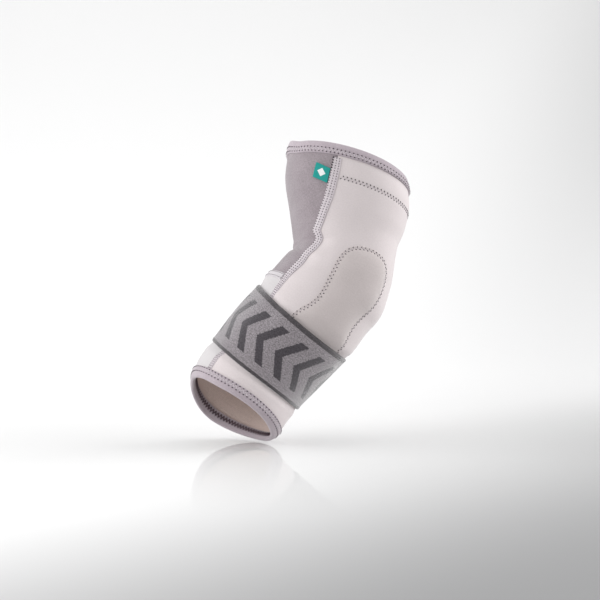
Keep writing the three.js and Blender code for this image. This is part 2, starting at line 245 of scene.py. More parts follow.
def endRise(station, angle):
    shift = np.zeros_like(station)
    for row in endRises:
        fromEnd = (-topEnd if row["end"] < 0 else wristEnd) - row["end"] * station
        fromMiddle = np.mod(angle - row["angle"] + 180, 360) - 180
        shift += row["rise"] * hill(fromMiddle / row["wide"]) * smoothDown(fromEnd, 0, row["reach"])
    return shift


def place(station, angle, height):
    # Points of the sleeve in metres, for arrays of stations, angles and heights
    station, angle, height = np.broadcast_arrays(*(np.asarray(v, dtype=float) for v in (station, angle, height)))
    share = shareOf(station)
    cos = np.cos(np.radians(angle))
    sin = np.sin(np.radians(angle))
    front, back, side = (
        tableValue(sections, share, lambda r: r[key] * r["width"]) for key in ("front", "back", "side")
    )
    slant, dip = (np.tan(np.radians(tableValue(sections, share, lambda r: r[key]))) for key in ("slant", "dip"))
    reach = np.where(cos > 0, back, front)
    normal = unit(np.stack([cos / reach, sin / side], -1))
    out = height + relief(station, angle)
    outBack = reach * cos + normal[..., 0] * out
    outSide = side * sin + normal[..., 1] * out
    along = outBack * slant - outSide * dip
    # The arm's centreline is straight, bends on an arc at the elbow, and is straight again
    radius = sleeve["bendRadius"]
    halfArc = radius * math.radians(sleeve["flexion"]) / 2
    middle = math.radians(sleeve["upperTilt"] + sleeve["flexion"] / 2)
    station = station - endRise(station, angle)
    clamped = np.clip(station, -halfArc, halfArc)
    beyond = station - clamped
    turn = middle + clamped / radius
    turnCos, turnSin = np.cos(turn), np.sin(turn)
    x = radius * (turnCos - math.cos(middle)) - beyond * turnSin + outBack * turnCos - along * turnSin
    z = radius * (math.sin(middle) - turnSin) - beyond * turnCos - outBack * turnSin - along * turnCos
    lean = math.radians(-sleeve["leanBack"])
    y = -outSide
    points = np.stack([x, y * math.cos(lean) - z * math.sin(lean), y * math.sin(lean) + z * math.cos(lean)], -1)
    return points * mm


def seamAngle(station):
    return tableValue(seams, shareOf(station), lambda r: r["angle"])


def fromSeam(station, angle):
    # The way from the seam to a point, along the cloth
    return (angle - seamAngle(station)) / turnOf(station, 1)


# Materials. Every colour is linear.
def newMaterial(name, roughness, sheen, specular=0.3):
    material = bpy.data.materials.new(name)
    material.use_nodes = True
    shader = material.node_tree.nodes["Principled BSDF"]
    shader.inputs["Roughness"].default_value = roughness
    shader.inputs["Sheen Weight"].default_value = sheen
    shader.inputs["Sheen Roughness"].default_value = 0.45
    shader.inputs["Specular IOR Level"].default_value = specular
    return material, shader


def feed(socket, value):
    # A number or a colour is set on the socket, and another node's output is linked to it
    if isinstance(value, (int, float)):
        socket.default_value = value
    elif isinstance(value, tuple):
        socket.default_value = (*value, 1)
    else:
        socket.id_data.links.new(value, socket)


def addNode(tree, kind, inputs, **settings):
    node = tree.nodes.new(kind)
    for key, value in settings.items():
        setattr(node, key, value)
    for key, value in inputs.items():
        feed(node.inputs[key], value)
    return node


def math2(operation, *values):
    # One Math node; the first value is another node's output
    return addNode(values[0].id_data, "ShaderNodeMath", dict(enumerate(values)), operation=operation).outputs[0]


def plus(first, second):
    return math2("ADD", first, second)


def minus(first, second):
    return math2("SUBTRACT", first, second)


def times(first, second):
    return math2("MULTIPLY", first, second)


def mix(factor, first, second):
    inputs = {0: factor, 6: first, 7: second}
    return addNode(factor.id_data, "ShaderNodeMix", inputs, data_type="RGBA").outputs[2]


def noise(vector, scale, detail=2.0, roughness=0.5):
    inputs = {"Vector": vector, "Scale": scale, "Detail": detail, "Roughness": roughness}
    return addNode(vector.id_data, "ShaderNodeTexNoise", inputs).outputs[0]


def mottle(fine, fineShare, coarse, contrast):
    # Two noises together, with more contrast about the middle, kept between 0 and 1
    tone = plus(times(fine, fineShare), times(coarse, 1 - fineShare))
    tone = minus(times(tone, contrast), contrast / 2 - 0.5)
    return math2("MINIMUM", math2("MAXIMUM", tone, 0.0), 1.0)


def axesOf(vector):
    return list(addNode(vector.id_data, "ShaderNodeSeparateXYZ", {0: vector}).outputs)


def clothUv(material):
    # The piece's own UVs in metres: both together, round the arm and along it
    uv = addNode(material.node_tree, "ShaderNodeUVMap", {}, uv_map="cloth").outputs[0]
    return uv, *axesOf(uv)[:2]


def objectPlace(material):
    return addNode(material.node_tree, "ShaderNodeTexCoord", {}).outputs["Object"]


def knitHeight(across, along, pitch):
    # Rows of V-shaped loops: wales along the arm, courses round it
    wale = math2("DIVIDE", across, pitch)
    course = math2("DIVIDE", along, pitch * 0.8)
    fromMiddle = math2("ABSOLUTE", minus(math2("FRACT", wale), 0.5))
    loops = math2("SINE", times(plus(course, fromMiddle), 2 * math.pi))
    rib = math2("COSINE", times(fromMiddle, 2 * math.pi))
    return plus(times(loops, 0.35), rib)


def paint(shader, colour, height, strength, distance):
    # The colour, and a bump of that strength and depth from a height
    feed(shader.inputs["Base Color"], colour)
    inputs = {"Strength": strength, "Distance": distance, "Height": height}
    feed(shader.inputs["Normal"], addNode(shader.id_data, "ShaderNodeBump", inputs).outputs[0])


def knitMaterial(look):
    material, shader = newMaterial(look["name"], look["roughness"], look["sheen"])
    uv, across, along = clothUv(material)
    knit = knitHeight(across, along, look["pitch"])
    fuzz = noise(uv, 1 / look["fuzz"], 3.0, 0.7)
    tone = mottle(fuzz, 0.75, noise(uv, 1 / look["cloud"]), look["contrast"])
    height = plus(times(knit, 0.5), fuzz)
    paint(shader, mix(tone, look["shade"], look["colour"]), height, look["bump"], look["depth"])
    return material


def threadMaterial(name, colour, shade):
    material, shader = newMaterial(name, 0.6, 0.2)
    spot = objectPlace(material)
    paint(shader, mix(noise(spot, 900), shade, colour), noise(spot, 4000, 1.0), 0.4, 0.0001)
    return material


# Lengths in metres: pitch is the width of a stitch of the knit, fuzz and cloud are the sizes of its mottling
knitLooks = table(
    "name colour shade pitch fuzz cloud contrast bump depth roughness sheen",
    ("lightKnit", (0.745, 0.682, 0.686), (0.61, 0.552, 0.556), 0.0009, 0.0011, 0.016, 1.6, 0.3, 0.00015, 0.9, 0.4),
    # The pad's knit is the light knit painted darker: painted shade for the shade on the pad's dome
    ("padKnit", (0.62, 0.56, 0.555), (0.49, 0.44, 0.435), 0.0009, 0.0011, 0.016, 1.6, 0.3, 0.00015, 0.9, 0.6),
    ("mauveKnit", (0.37, 0.322, 0.345), (0.225, 0.192, 0.208), 0.0011, 0.0012, 0.01, 2.6, 0.6, 0.0002, 0.95, 0.5),
    ("whiteKnit", (0.64, 0.617, 0.622), (0.52, 0.497, 0.505), 0.0009, 0.0011, 0.016, 1.6, 0.3, 0.00015, 0.9, 0.4),
    ("lining", (0.74, 0.61, 0.56), (0.52, 0.42, 0.38), 0.0014, 0.0014, 0.02, 1.6, 0.4, 0.0002, 0.95, 0.1),
    ("tapeKnit", (0.74, 0.68, 0.71), (0.5, 0.45, 0.48), 0.0008, 0.0009, 0.006, 2.4, 0.5, 0.00015, 0.9, 0.4),
    ("crossKnit", (0.68, 0.65, 0.67), (0.5, 0.47, 0.49), 0.0008, 0.0009, 0.006, 2.0, 0.5, 0.00015, 0.9, 0.4),
    ("bindingKnit", (0.53, 0.465, 0.505), (0.36, 0.305, 0.34), 0.0009, 0.001, 0.008, 2.2, 0.5, 0.0002, 0.92, 0.5),
)
lightKnit, padKnit, mauveKnit, whiteKnit, lining, tapeKnit, crossKnit, bindingKnit = map(knitMaterial, knitLooks)
darkThread = threadMaterial("darkThread", (0.045, 0.03, 0.04), (0.02, 0.014, 0.018))
greyThread = threadMaterial("greyThread", (0.085, 0.065, 0.08), (0.045, 0.035, 0.042))
paleThread = threadMaterial("paleThread", (0.74, 0.69, 0.72), (0.56, 0.51, 0.54))
overlockThread = threadMaterial("overlockThread", (0.11, 0.07, 0.085), (0.045, 0.028, 0.035))
print("stage: materials")


# Making and finishing pieces
def takeOnly(*pieces):
    bpy.ops.object.select_all(action="DESELECT")
    for obj in pieces[::-1]:
        obj.select_set(True)
        bpy.context.view_layer.objects.active = obj


def namePiece(name):
    obj = bpy.context.object
    obj.name = name
    obj.data.name = name
    return obj


def addGrid(name, rows, columns):
    # A grid with the share of its width and of its length at each vertex
    takeOnly()
    bpy.ops.mesh.primitive_grid_add(x_subdivisions=columns, y_subdivisions=rows, size=2)
    obj = namePiece(name)
    points = vertexPlaces(obj)
    return obj, (points[:, 0] + 1) / 2, (points[:, 1] + 1) / 2


def vertexPlaces(obj):
    places = np.empty(len(obj.data.vertices) * 3)
    obj.data.vertices.foreach_get("co", places)
    return places.reshape(-1, 3)


def setPlaces(obj, places):
    obj.data.vertices.foreach_set("co", np.asarray(places, dtype=float).ravel())
    obj.data.update()


def setUv(obj, uv, wrap=None):
    # uv is in metres, a row for each vertex. wrap is the length after which u starts again on a closed ring.
    layer = obj.data.uv_layers[0] if obj.data.uv_layers else obj.data.uv_layers.new()
    layer.name = "cloth"
    corners = np.empty(len(obj.data.loops), dtype=int)
    obj.data.loops.foreach_get("vertex_index", corners)
    values = uv[corners]
    if wrap is not None:
        for polygon in obj.data.polygons:
            ends = slice(polygon.loop_start, polygon.loop_start + polygon.loop_total)
            for axis in (0, 1):
                row = values[ends, axis]
                if row.max() - row.min() > wrap[axis] / 2:
                    row[row < wrap[axis] / 2] += wrap[axis]
    layer.data.foreach_set("uv", values.ravel())


def layGrid(obj, station, angle, height, u, v):
    setPlaces(obj, place(station, angle, height))
    setUv(obj, np.stack([u, v], -1) * mm)


def applyModifier(obj, kind, **settings):
    takeOnly(obj)
    modifier = obj.modifiers.new(kind.lower(), kind)
    for key, value in settings.items():
        setattr(modifier, key, value)
    bpy.ops.object.modifier_apply(modifier=modifier.name)


def faceOutwards(obj):
    takeOnly(obj)
    bpy.ops.object.mode_set(mode="EDIT")
    bpy.ops.mesh.select_all(action="SELECT")
    bpy.ops.mesh.normals_make_consistent(inside=False)
    bpy.ops.object.mode_set(mode="OBJECT")


def layDown(obj, station, angle, height):
    # Closes an outer face with a lower one that lies on the cloth, at its own height
    count = len(obj.data.vertices)
    applyModifier(obj, "SOLIDIFY", thickness=1 * mm, offset=-1)
    places = vertexPlaces(obj)
    places[count:2 * count] = place(station, angle, np.full(count, height))
    setPlaces(obj, places)
    faceOutwards(obj)


def layMaterials(obj, *materials):
    for material in materials:
        obj.data.materials.append(material)


def finishPiece(obj, node, slot, *materials):
    layMaterials(obj, *materials)
    takeOnly(obj)
    bpy.ops.object.shade_smooth_by_angle(angle=math.radians(50))
    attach(obj, "root")
    if node:
        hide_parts(node)
    return obj


def ringLength(station):
    return 360 / turnOf(np.array([station]), 1)[0] * mm


def closedRing(name, columns, sectionPoints, outline):
    # A ring whose section runs round it; outline gives places and UVs from a column's share and a section point
    takeOnly()
    bpy.ops.mesh.primitive_torus_add(major_segments=columns, minor_segments=sectionPoints)
    obj = namePiece(name)
    index = np.arange(columns * sectionPoints)
    points, uv, wrap = outline((index // sectionPoints) / columns, index % sectionPoints)
    setPlaces(obj, points)
    setUv(obj, uv, wrap)
    faceOutwards(obj)
    return obj


# Stitches: one bead is modelled, and each stitch is a copy of it laid between two points
def beadShape():
    takeOnly()
    bpy.ops.mesh.primitive_uv_sphere_add(segments=6, ring_count=4, radius=1)
    bead = bpy.context.object
    places = vertexPlaces(bead)
    faces = [tuple(p.vertices) for p in bead.data.polygons]
    bpy.data.objects.remove(bead)
    return places, faces


beadPlaces, beadFaces = beadShape()


def stitchMesh(name, starts, ends, ups, thickness):
    # Every bead is long from its start to its end, and a little flat towards the cloth
    way = ends - starts
    length = np.linalg.norm(way, axis=1, keepdims=True)
    forward = way / length
    sideways = unit(np.cross(ups, forward))
    upward = np.cross(forward, sideways)
    middle = (starts + ends) / 2
    places = middle[:, None, :] + (
        beadPlaces[None, :, 2:3] * (forward * (length / 2 + thickness / 3))[:, None, :]
        + beadPlaces[None, :, 0:1] * (sideways * thickness / 2)[:, None, :]
        + beadPlaces[None, :, 1:2] * (upward * thickness / 2)[:, None, :]
    )
    count = len(beadPlaces)
    faces = [tuple(v + count * k for v in face) for k in range(len(starts)) for face in beadFaces]
    mesh = bpy.data.meshes.new(name)
    mesh.from_pydata(places.reshape(-1, 3).tolist(), [], faces)
    obj = bpy.data.objects.new(name, mesh)
    bpy.context.collection.objects.link(obj)
    faceOutwards(obj)
    return obj


def joinPieces(name, parts):
    takeOnly(*parts)
    bpy.ops.object.join()
    return namePiece(name)


def surfaceOf(*pieces):
    # What the stitches lie on
    trees = []
    for piece in pieces:
        corners = vertexPlaces(piece).tolist()
        trees.append(BVHTree.FromPolygons(corners, [tuple(p.vertices) for p in piece.data.polygons]))
    return trees


def layOn(trees, points, ups, lift):
    # Moves points along their way out until they lie on the highest of the pieces
    laid = points.copy()
    reach = 4 * mm
    for k, (point, up) in enumerate(zip(points, ups)):
        start = Vector(point) + Vector(up) * reach
        hits = [tree.ray_cast(start, -Vector(up), 2 * reach) for tree in trees]
        depths = [hit[3] for hit in hits if hit[0] is not None]
        if depths:
            laid[k] = point + up * (reach - min(depths) + lift)
    return laid


def evenPath(stations, angles, height, pitch):
    # Points at even steps along a line on the cloth, with the direction out of the cloth at each
    points = place(stations, angles, height)
    ups = place(stations, angles, np.asarray(height) + 1.0) - points
    steps = np.linalg.norm(np.diff(points, axis=0), axis=1)
    travelled = np.concatenate([[0], np.cumsum(steps)])
    count = max(int(travelled[-1] / pitch), 2)
    at = np.linspace(0, travelled[-1], count + 1)
    even, up = (np.stack([np.interp(at, travelled, rows[:, k]) for k in range(3)], -1) for rows in (points, ups))
    up = unit(up)
    forward = unit(np.gradient(even, axis=0))
    return even, up, forward, np.cross(up, forward)


def rowStitches(name, trees, stations, angles, height, look, material):
    even, up, forward, _ = evenPath(stations, angles, height, look["pitch"])
    half = forward * look["length"] / 2
    starts, ends = (layOn(trees, even + way, up, look["thickness"] * look["lift"]) for way in (-half, half))
    obj = stitchMesh(name, starts, ends, up, look["thickness"])
    layMaterials(obj, material)
    return obj


def zigzagStitches(name, trees, stations, angles, height, look, material, dots=None, inward=False):
    # The thread goes from side to side, and dots are the short dark stitches where it dives in
    even, up, forward, sideways = evenPath(stations, angles, height, look["pitch"] / 2)
    up = -up if inward else up
    sides = np.where(np.arange(len(even)) % 2 == 0, 1, -1)[:, None] * look["width"] / 2
    turns = layOn(trees, even + sideways * sides, up, look["thickness"] * look["lift"])
    thread = stitchMesh(name, turns[:-1], turns[1:], up[:-1], look["thickness"])
    layMaterials(thread, material)
    if dots is None:
        return thread
    half = (sideways * np.sign(sides) * 0.5 + forward * 0.5) * look["dotLength"] / 2
    lift = look["dotThickness"] * look["lift"]
    starts, ends = (layOn(trees, turns + way, up, lift) for way in (-half, half))
    dot = stitchMesh(name + "_dots", starts, ends, up, look["dotThickness"])
    layMaterials(dot, dots)
    return joinPieces(name, [thread, dot])


def finishStitches(name, parts, slot):
    return finishPiece(joinPieces(name, parts), None, slot)


# Camera: at the height of the wrist edge, level with the outer side
view = {"target": (-0.031, 0, -0.027), "distance": 1.333, "elevation": 4, "lens": 100}


def addCamera():
    data = bpy.data.cameras.new("camera")
    data.lens = view["lens"]
    data.sensor_width = 36
    data.clip_end = 50
    camera = bpy.data.objects.new("camera", data)
    bpy.context.collection.objects.link(camera)
    up = math.radians(view["elevation"])
    offset = Vector((0, -math.cos(up), math.sin(up))) * view["distance"]
    camera.location = Vector(view["target"]) + offset
    camera.rotation_euler = (-offset).to_track_quat("-Z", "Y").to_euler()
    bpy.context.scene.camera = camera


addCamera()

# The pad's and the tapes' sizes come before the pieces, because the strap lies over both
pad = {
    "width": 46, "above": 9, "overlap": 8, "angle": 58, "crown": 3.9, "flat": 0.9, "rise": 5.5, "riseShape": 1.4,
    "rim": 0.5, "rimWidth": 0.35, "lift": 0.15, "under": 0.08, "strapFrom": 0.74, "strapTo": 0.9,
    "stitchInset": 1.5, "grooveDepth": 0.4, "grooveWidth": 0.9, "freeWithin": 2.5, "outlineEnd": 0.93,
    "outlinePoints": 220, "rows": 84, "columns": 52, "pressure": 1500, "frames": 20, "cap": 1.2,
    "rowPower": 1.35, "outlinePower": 1.3,
}
padOutline = table(
    "at half",
    (0, 0.02), (0.012, 0.2), (0.045, 0.35), (0.1, 0.445), (0.17, 0.49), (0.25, 0.5), (0.36, 0.48), (0.48, 0.445),
    (0.6, 0.425), (0.71, 0.465), (0.81, 0.53), (0.9, 0.57), (1, 0.57),
)
tape = {
    "width": 7.5, "thickness": 0.9, "thin": 0.35, "thinFrom": -10, "thinTo": 8, "crossWidth": 6, "lift": 0.12,
    "crossLift": 0.1, "under": 0.06, "rib": 0.16, "ribWhereThin": 0.3, "grooveWidth": 0.11, "grooveDepth": 0.9,
    "pucker": 0.05, "puckerPitch": 3.2, "rowStep": 0.8, "columns": 30, "crossRows": 16, "crossColumns": 90,
    "seamRows": (-0.78, -0.08, 0.6), "fineRows": (-0.6, 0.0, 0.6), "crossRowsAt": (-0.6, 0.6), "sideRow": -0.92,
    "edgePower": 8,
}


def aboveCross(station):
    # 1 above the cross seam and 0 below it, where the tape is thin and flat
    return smoothDown(station, crossSeamAt + tape["thinFrom"], crossSeamAt + tape["thinTo"])


def tapeHeight(station):
    return tape["thin"] + (tape["thickness"] - tape["thin"]) * aboveCross(station)


def tapeHalfWidth(station):
    return tape["width"] / 2 * tableValue(seams, shareOf(station), lambda r: r["width"])


def padHalfAngle(station, share):
    return turnOf(station, pad["width"] * tableValue(padOutline, share, lambda r: r["half"]))


# Panels
panel = {
    "gap": 0.15, "rowStep": 1.3, "columnStep": 1.45, "swell": 0.35, "swellAt": 4, "swellWidth": 3,
    "hemLine": 58.5, "hemRise": 5, "hemTo": 100, "stitchGroove": 0.3, "grooveWidth": 1.4,
}


def hemLineStation(angle):
    # The line of zigzag stitches under the top edge, a little lower at the back
    return -panel["hemLine"] + panel["hemRise"] * (1 - np.abs(angle) / panel["hemTo"])


def besideStrap(station, angle):
    # The cloth swells a little beside both edges of the strap
    fromTop = station - strapStation(angle, 0)
    fromBottom = station - strapStation(angle, edges["strapWidth"])
    swellAt, wide = panel["swellAt"], panel["swellWidth"]
    return panel["swell"] * (bell((fromTop + swellAt) / wide) + bell((fromBottom - swellAt) / wide))


def backHeight(station, angle):
    # The back panel is drawn in along its line of stitches too
    groove = bell((station - hemLineStation(angle)) / panel["grooveWidth"]) * (np.abs(angle) < panel["hemTo"])
    return besideStrap(station, angle) - panel["stitchGroove"] * groove


def addPanel(name, start, end, sides, heightOf, *materials):
    middle = np.array([(start + end) / 2])
    low, high = sides(middle)
    columns = int((high - low)[0] / turnOf(middle, panel["columnStep"])[0])
    rows = int((end - start) / panel["rowStep"])
    obj, across, along = addGrid(name, rows, columns)
    station = start + along * (end - start)
    low, high = sides(station)
    angle = low + across * (high - low)
    layGrid(obj, station, angle, heightOf(station, angle), fromSeam(station, angle), station)
    layMaterials(obj, *materials)
    applyModifier(obj, "SOLIDIFY", thickness=sleeve["wall"] * mm, offset=-1, material_offset=1)
    return obj


def backSides(station):
    edge = seamAngle(station) - turnOf(station, panel["gap"] / 2)
    return -edge, edge


def frontSides(station):
    edge = seamAngle(station) + turnOf(station, panel["gap"] / 2)
    return edge, 360 - edge


backPanel = addPanel("back_panel_cloth", topPanelEdge, wristPanelEdge, backSides, backHeight, lightKnit, lining)
finishPiece(backPanel, "back_panel", "light_knit")
crookEnd = crossSeamAt - panel["gap"] / 2
crookPanel = addPanel("crook_panel_cloth", topPanelEdge, crookEnd, frontSides, besideStrap, mauveKnit, lining)
finishPiece(crookPanel, "crook_panel", "mauve_knit")
forearmStart = crossSeamAt + panel["gap"] / 2
forearmPanel = addPanel("forearm_panel_cloth", forearmStart, wristPanelEdge, frontSides, besideStrap, whiteKnit, lining)
finishPiece(forearmPanel, "forearm_panel", "white_knit")
print("stage: panels")


# Tapes: soft ribs between the rows of stitches
def ribs(share, rows):
    groove = sum(bell((share - row) / tape["grooveWidth"]) for row in rows)
    return 1 - tape["grooveDepth"] * np.clip(groove, 0, 1)


def tapeEdge(share):
    return np.sqrt(np.clip(1 - share ** tape["edgePower"], 0, 1))


def seamTape(name, side):
    rows = int((tapeBottom - tapeTop) / tape["rowStep"])
    obj, across, along = addGrid(name, rows, tape["columns"])
    station = tapeTop + along * (tapeBottom - tapeTop)
    share = 2 * across - 1
    angle = side * seamAngle(station) + share * turnOf(station, tapeHalfWidth(station))
    # The thread draws the cloth in
    pucker = tape["pucker"] * np.sin(station * 2 * math.pi / tape["puckerPitch"])
    rib = tape["rib"] * ribs(-share * side, tape["seamRows"]) + pucker
    thin = tape["ribWhereThin"]
    height = tapeHeight(station) - tape["rib"] + rib * (thin + (1 - thin) * aboveCross(station))
    layGrid(obj, station, angle, tape["lift"] + height * tapeEdge(share), share * tapeHalfWidth(station), station)
    layDown(obj, station, angle, tape["under"])
    return obj


def crossTape(name):
    obj, across, along = addGrid(name, tape["crossRows"], tape["crossColumns"])
    share = 2 * along - 1
    station = crossSeamAt + share * tape["crossWidth"] / 2
    edge = seamAngle(station) + turnOf(station, tapeHalfWidth(station) + seat)
    angle = edge + (360 - 2 * edge) * across
    height = tape["thickness"] - tape["rib"] + tape["rib"] * ribs(share, tape["fineRows"])
    height = tape["crossLift"] + height * tapeEdge(share)
    layGrid(obj, station, angle, height, angle / turnOf(station, 1), station)
    layDown(obj, station, angle, tape["under"])
    return obj


outerTape = finishPiece(seamTape("outer_seam_tape_cloth", 1), "outer_seam_tape", "tape", tapeKnit)
innerTape = finishPiece(seamTape("inner_seam_tape_cloth", -1), "inner_seam_tape", "tape", tapeKnit)
crossTapeCloth = finishPiece(crossTape("cross_seam_tape_cloth"), "cross_seam_tape", "tape", crossKnit)
print("stage: tapes")

# Edge bindings
binding = {
    "columns": 256, "topRise": 2.0, "puff": 0.12, "innerPuff": 0.2, "foot": 0.9, "footRoll": 0.9, "footLift": 0.1,
    "noseShare": 0.8, "nip": 0.55, "nipLength": 3.5, "rowFromEdge": 1.3, "topRowGap": 3.4, "wristRowGap": 4.1,
    "grooveWidth": 0.6, "grooveDepth": 0.06, "overlockInset": 0.5, "outerSteps": 26, "foldSteps": 14, "innerSteps": 12,
}
liningFace = -sleeve["wall"] - edges["liningClearance"]
bindingOutside = seat + edges["bindingThickness"]
bindingInside = liningFace - edges["bindingThickness"]


def edgeStation(end):
    # The soft fold at the top stands a little over the end of the solid
    return topEnd - binding["topRise"] if end < 0 else wristEnd


def rowsOf(end, width):
    # How far from the edge the lower and the upper row of stitches are
    lower = width - binding["rowFromEdge"]
    return lower, lower - binding["topRowGap" if end < 0 else "wristRowGap"]


def bindingSection(end, width):
    # Outer leg from its foot to the fold, round the fold, and back inside; along is measured from the edge
    look = binding
    middle = (bindingOutside + bindingInside) / 2
    radius = (bindingOutside - bindingInside) / 2 - look["nip"]
    nose = radius * look["noseShare"]

    def nipped(along):
        # The fold is pressed thinner than the layers that it holds
        return look["nip"] * max(0, 1 - (along - nose) / look["nipLength"]) ** 2

    points = []
    for k in range(look["outerSteps"]):
        along = width + (nose - width) * k / look["outerSteps"]
        puff = look["puff"] * math.sin(math.pi * k / look["outerSteps"]) ** 0.5
        puff -= look["footRoll"] * edges["bindingThickness"] * max(0, 1 - (width - along) / look["foot"]) ** 2
        groove = look["grooveDepth"] * sum(bell((along - row) / look["grooveWidth"]) for row in rowsOf(end, width))
        points.append((along, bindingOutside + puff - groove - nipped(along)))
    for k in range(look["foldSteps"]):
        turn = math.radians(90 - 180 * k / look["foldSteps"])
        points.append((nose * (1 - math.cos(turn)), middle + radius * math.sin(turn)))
    for k in range(look["innerSteps"] + 1):
        along = nose + (edges["lining"] - nose) * k / look["innerSteps"]
        puff = look["innerPuff"] * math.sin(math.pi * k / look["innerSteps"])
        points.append((along, bindingInside - puff + nipped(along)))
    points += [(edges["lining"], liningFace), (edges["bindingThickness"], liningFace)]
    points += [(edges["bindingThickness"], seat), (width, look["footLift"])]
    return np.array(points)


def addBinding(name, end, width):
    section = bindingSection(end, width)
    edge = edgeStation(end)
    lengths = np.concatenate([[0], np.cumsum(np.linalg.norm(np.diff(section, axis=0), axis=1))])

    def outline(column, row):
        points = place(edge - end * section[row, 0], 360 * column, section[row, 1])
        wrap = (ringLength(edge - end * width), (lengths[-1] + 1) * mm)
        return points, np.stack([column * wrap[0], lengths[row] * mm], -1), wrap

    return closedRing(name, binding["columns"], len(section), outline)


topBinding = addBinding("top_binding_cloth", -1, edges["topBindingWidth"])
finishPiece(topBinding, "top_binding", "binding", bindingKnit)
wristBinding = addBinding("wrist_binding_cloth", 1, edges["wristBindingWidth"])
finishPiece(wristBinding, "wrist_binding", "binding", bindingKnit)
print("stage: bindings")


# Strap: mottled elastic with dark edges and a plain knitted row of chevrons
def strapSeat(station, angle, along):
    # How far out the strap lies: over the tapes, and over the pad's lower end
    look = strap
    fromTape = np.abs(np.minimum(angle, 360 - angle) - seamAngle(station))
    beside = turnOf(station, tapeHalfWidth(station) + look["tapeClearance"])
    overTape = smoothDown(fromTape, look["tapeFlat"] * beside, beside + turnOf(station, look["tapeRamp"]))
    padEdge = padHalfAngle(station, 1.0) + look["padClearance"]
    overPad = smoothDown(np.abs(angle - pad["angle"]), padEdge, padEdge + look["padRamp"])
    padEnd = smoothDown(along, *(pad["overlap"] + past for past in look["padEnd"]))
    lift = np.maximum(overTape * (tapeHeight(station) + look["overTape"]), overPad * padEnd * look["overPad"])
    return seat + lift


def strapSection():
    # The outer face with its thick rolled edges, then back along the inner face
    width = edges["strapWidth"]
    steps = int(width / strap["rowStep"])
    points = []
    for k in range(steps + 1):
        along = width * k / steps
        fromEdge = min(along, width - along)
        rise = strap["edgeRise"] if fromEdge < strap["edge"] else 0
        roll = strap["roll"] * math.exp(-fromEdge / strap["rollLength"])
        points.append((along, strap["thickness"] + rise - roll))
    points += [(width * (1 - k / strap["innerSteps"]), 0.0) for k in range(strap["innerSteps"] + 1)]
    return np.array(points)


def addStrap():
    section = strapSection()
    outerPoints = len(section) - strap["innerSteps"] - 1
    across = np.where(np.arange(len(section)) < outerPoints, section[:, 0], -1 - section[:, 0])

    def outline(column, row):
        angle = 360 * column
        along = section[row, 0]
        station = strapStation(angle, along)
        points = place(station, angle, strapSeat(station, angle, along) + section[row, 1])
        wrap = (ringLength(strapTop + strap["uvFromTop"]), 1.0)
        return points, np.stack([column * wrap[0], across[row] * mm], -1), wrap

    return closedRing("strap_cloth", strap["columns"], len(section), outline)


# The pattern's lengths are in metres. Each colour is a pair, the shade in the mottling and the thread's own.
pattern = {
    "pitch": 0.0185, "bar": 0.4, "slope": 0.62, "half": 0.0185, "cell": 0.0008, "stitch": 0.0009, "relief": 0.8,
    "speck": 1300, "fleck": 650, "contrast": 2.6, "bump": 0.6, "depth": 0.0002,
    "ground": ((0.12, 0.106, 0.115), (0.4, 0.365, 0.388)), "dark": ((0.03, 0.025, 0.03), (0.085, 0.075, 0.087)),
    "edge": ((0.03, 0.026, 0.029), (0.105, 0.093, 0.102)),
}


def strapMaterial():
    look = pattern
    material, shader = newMaterial("strapKnit", 0.9, 1.0)
    uv, around, across = clothUv(material)
    # The pattern is cut to the knit's cells, so its edges are stepped
    u, v = (math2("SNAP", value, look["cell"]) for value in (around, across))
    middle = edges["strapWidth"] * mm / 2
    fromMiddle = math2("ABSOLUTE", minus(v, middle))
    slanted = plus(u, times(fromMiddle, look["slope"]))
    phase = math2("FRACT", math2("DIVIDE", slanted, look["pitch"]))
    bar = times(math2("LESS_THAN", phase, look["bar"]), math2("LESS_THAN", fromMiddle, look["half"]))
    stripe = math2("GREATER_THAN", fromMiddle, middle - strap["edge"] * mm)
    speck = noise(uv, look["speck"], 1.0)
    tone = mottle(speck, 0.6, noise(uv, look["fleck"], 1.0), look["contrast"])
    ground, dark, edge = (mix(tone, *look[key]) for key in ("ground", "dark", "edge"))
    knit = knitHeight(around, across, look["stitch"])
    height = plus(times(knit, 0.6), speck)
    height = plus(height, times(bar, look["relief"]))
    paint(shader, mix(stripe, mix(bar, ground, dark), edge), height, look["bump"], look["depth"])
    return material


strapPiece = addStrap()
finishPiece(strapPiece, "strap", "strap", strapMaterial())
print("stage: strap")


# Pad: a soft dome under its own cloth, held down by the strap at its lower end
def padPlace(share, across):
    # share goes from the pad's top to its lower end, and across from -1 to 1
    def stationAt(angle):
        return -pad["above"] + share * (strapStation(angle, pad["overlap"]) + pad["above"])

    angle = pad["angle"] + across * padHalfAngle(stationAt(pad["angle"]), share)
    return stationAt(angle), angle


def flatPlace(station, angle):
    # Millimetres on the unrolled cloth round the pad
    return np.stack([angle / turnOf(station, 1), station], -1)


def padRimLine(inset):
    # The pad's outline from its lower end up, over its top and down again, drawn in by an inset
    up = np.linspace(pad["outlineEnd"], 0, pad["outlinePoints"]) ** pad["outlinePower"]
    shares = np.concatenate([up, up[-2::-1]])
    sides = np.repeat([1.0, -1.0], [len(up), len(up) - 1])
    flat = flatPlace(*padPlace(shares, sides))
    tangent = np.gradient(flat, axis=0)
    tangent /= np.maximum(np.linalg.norm(tangent, axis=1, keepdims=True), 1e-9)
    inward = np.stack([-tangent[:, 1], tangent[:, 0]], -1)
    centre = flatPlace(*padPlace(np.array([0.4]), np.array([0.0])))
    inward *= np.sign(((centre - flat) * inward).sum(1, keepdims=True))
    moved = flat + inward * inset
    return moved[:, 1], moved[:, 0] * turnOf(moved[:, 1], 1)


